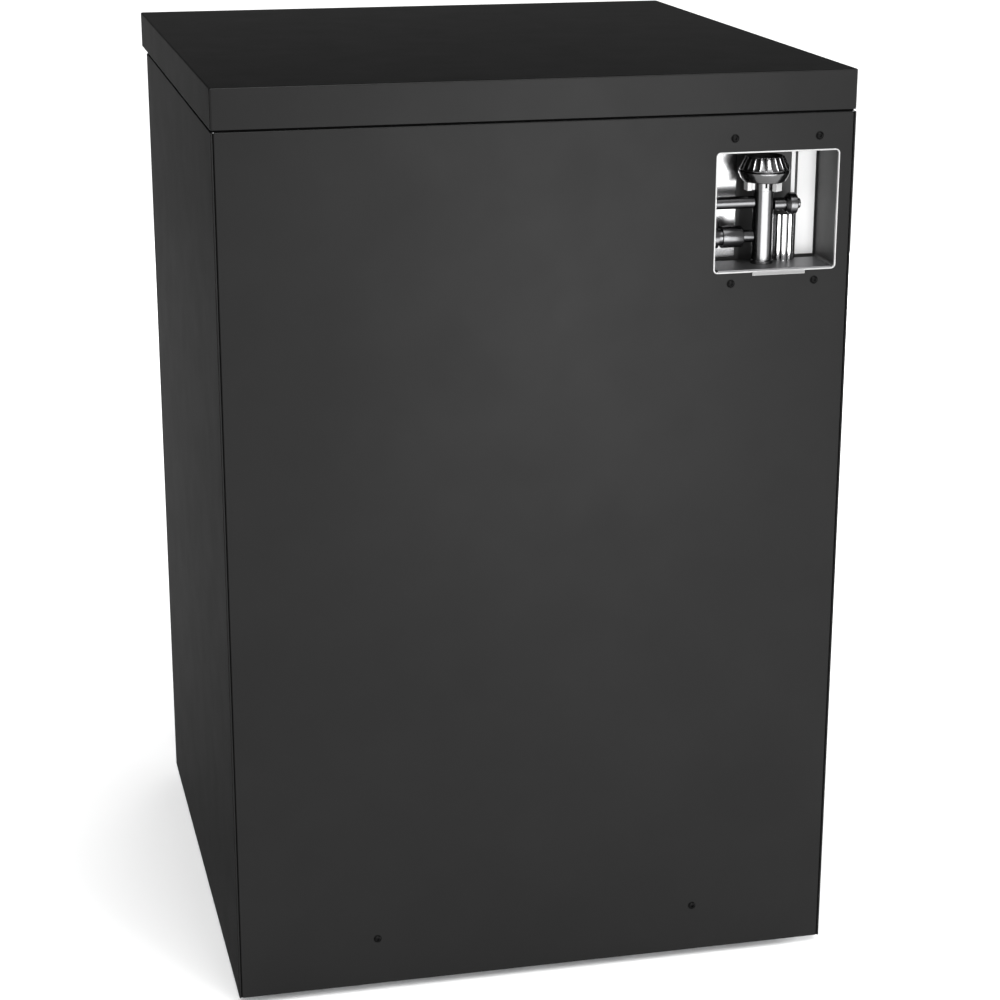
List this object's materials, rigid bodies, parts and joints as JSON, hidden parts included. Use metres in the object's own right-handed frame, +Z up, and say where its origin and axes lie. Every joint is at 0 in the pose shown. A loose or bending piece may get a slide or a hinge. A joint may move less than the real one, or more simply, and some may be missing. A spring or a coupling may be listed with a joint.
{
  "type": "kegerator",
  "caption": "Under-counter draft beer cooler with overhanging worktop, keg bay, front door, header faucet, drip tray and a rear recess holding a gas regulator.",
  "frame": {"origin": "on the floor under the middle of the machine's bounding box", "axes": "+Z up, +X to the right seen from the front, door and faucet towards -Y, back panel towards +Y"},
  "size_m": [0.61, 0.788, 0.9095],
  "materials": {
    "cabinet_paint": "satin powder coat",
    "dark_steel": "satin",
    "black_plastic": "satin moulded",
    "screw_steel": "black oxide",
    "board_core": "matte",
    "foam": "matte foam",
    "white_liner": "satin moulded",
    "stainless": "brushed",
    "chrome": "polished",
    "rubber_black": "matte",
    "bush_plastic": "matte",
    "button_plastic": "satin",
    "display_glass": "gloss",
    "compressor_paint": "gloss enamel",
    "fin_aluminium": "mill",
    "copper": "drawn",
    "clear_hose": "flexible tube"
  },
  "bodies": {
    "root": {"left_side_panel": "cabinet_paint", "right_side_panel": "cabinet_paint", "back_panel": "cabinet_paint", "worktop": "cabinet_paint", "header_fascia": "cabinet_paint", "front_frame": "dark_steel", "base_pan": "dark_steel", "kick_grille": "dark_steel", "cabinet_inner_sheets": "dark_steel", "recess_box": "dark_steel", "hinge_brackets": "dark_steel", "control_bezel": "black_plastic", "back_screws": "screw_steel", "worktop_core": "board_core", "insulation_foam": "foam", "inner_liner": "white_liner", "evaporator_cover": "white_liner", "window_trim": "stainless", "recess_back_plates": "stainless", "manifold_bracket": "stainless", "coupler_park_bracket": "stainless", "regulator_body": "chrome", "lock_nut": "chrome", "regulator_bonnet": "chrome", "gas_outlet_tube": "chrome", "relief_union": "chrome", "gas_inlet_coupling": "chrome", "gas_filter_bowl": "chrome", "faucet_shank_and_nuts": "chrome", "faucet_body": "chrome", "coupler_body": "chrome", "display_lens": "display_glass", "compressor": "compressor_paint", "condenser_and_fan_mount": "fin_aluminium", "evaporator_coil_and_motor": "fin_aluminium", "refrigerant_pipes": "copper", "beer_hose": "clear_hose", "gas_hose": "clear_hose"},
    "door": {"door_skin_panel": "cabinet_paint", "door_foam": "foam", "door_liner_panel": "white_liner", "door_hinge_bushes": "bush_plastic", "door_gasket": "rubber_black", "door_handle_and_tray_rail": "stainless"},
    "drip_tray": {"drip_tray": "stainless"},
    "drip_grate": {"drip_grate": "stainless"},
    "adjusting_ring": {"adjusting_ring": "chrome"},
    "faucet_lever": {"faucet_lever": "chrome", "tap_handle": "black_plastic"},
    "faucet_plunger": {"faucet_plunger": "chrome"},
    "power_button": {"power_button": "button_plastic"},
    "temperature_button": {"temperature_button": "button_plastic"},
    "condenser_fan": {"condenser_fan": "black_plastic"},
    "evaporator_fan": {"evaporator_fan": "black_plastic"},
    "coupler_handle": {"coupler_handle": "rubber_black"},
    "coupler_probe": {"coupler_probe": "chrome"},
    "foot_front_left": {"foot_front_left": "rubber_black"},
    "foot_front_right": {"foot_front_right": "rubber_black"},
    "foot_rear_left": {"foot_rear_left": "rubber_black"},
    "foot_rear_right": {"foot_rear_right": "rubber_black"}
  },
  "joints": [
    {"name": "door_hinge", "type": "hinge", "parent": "root", "child": "door", "pos_m": [0.287, -0.237, 0.4], "axis": [0, 0, 1], "range_deg": [0, 115]},
    {"name": "drip_tray_lift", "type": "slide", "parent": "door", "child": "drip_tray", "axis": [0, 0, 1], "range_m": [0, 0.03]},
    {"name": "drip_grate_lift", "type": "slide", "parent": "drip_tray", "child": "drip_grate", "axis": [0, 0, 1], "range_m": [0, 0.03]},
    {"name": "adjusting_ring_turn", "type": "hinge", "parent": "root", "child": "adjusting_ring", "pos_m": [-0.2258, 0.362, 0.82], "axis": [0, 0, 1], "range_deg": [0, 900]},
    {"name": "faucet_lever_tilt", "type": "hinge", "parent": "root", "child": "faucet_lever", "pos_m": [0, -0.318, 0.818], "axis": [1, 0, 0], "range_deg": [0, 35]},
    {"name": "faucet_plunger_slide", "type": "slide", "parent": "root", "child": "faucet_plunger", "axis": [0, 1, 0], "range_m": [0, 0.005]},
    {"name": "power_button_press", "type": "slide", "parent": "root", "child": "power_button", "axis": [0, 1, 0], "range_m": [0, 0.0015], "stiffness_N_per_m": 600, "springref_m": -0.001},
    {"name": "temperature_button_press", "type": "slide", "parent": "root", "child": "temperature_button", "axis": [0, 1, 0], "range_m": [0, 0.0015], "stiffness_N_per_m": 600, "springref_m": -0.001},
    {"name": "condenser_fan_spin", "type": "hinge", "parent": "root", "child": "condenser_fan", "pos_m": [-0.184, 0.318, 0.105], "axis": [1, 0, 0], "continuous": true},
    {"name": "evaporator_fan_spin", "type": "hinge", "parent": "root", "child": "evaporator_fan", "pos_m": [0, 0.333, 0.61], "axis": [0, 1, 0], "continuous": true},
    {"name": "coupler_handle_pull", "type": "hinge", "parent": "root", "child": "coupler_handle", "pos_m": [0.215, 0.275, 0.513], "axis": [1, 0, 0], "range_deg": [0, 65]},
    {"name": "coupler_probe_slide", "type": "slide", "parent": "root", "child": "coupler_probe", "axis": [0, 0, -1], "range_m": [0, 0.0102]},
    {"name": "foot_front_left_screw", "type": "slide", "parent": "root", "child": "foot_front_left", "axis": [0, 0, -1], "range_m": [0, 0.012]},
    {"name": "foot_front_right_screw", "type": "slide", "parent": "root", "child": "foot_front_right", "axis": [0, 0, -1], "range_m": [0, 0.012]},
    {"name": "foot_rear_left_screw", "type": "slide", "parent": "root", "child": "foot_rear_left", "axis": [0, 0, -1], "range_m": [0, 0.012]},
    {"name": "foot_rear_right_screw", "type": "slide", "parent": "root", "child": "foot_rear_right", "axis": [0, 0, -1], "range_m": [0, 0.012]}
  ],
  "couplings": [
    {"joint": "faucet_plunger_slide", "follows": "faucet_lever_tilt", "m_per_rad": 0.008},
    {"joint": "coupler_probe_slide", "follows": "coupler_handle_pull", "m_per_rad": 0.0089}
  ]
}
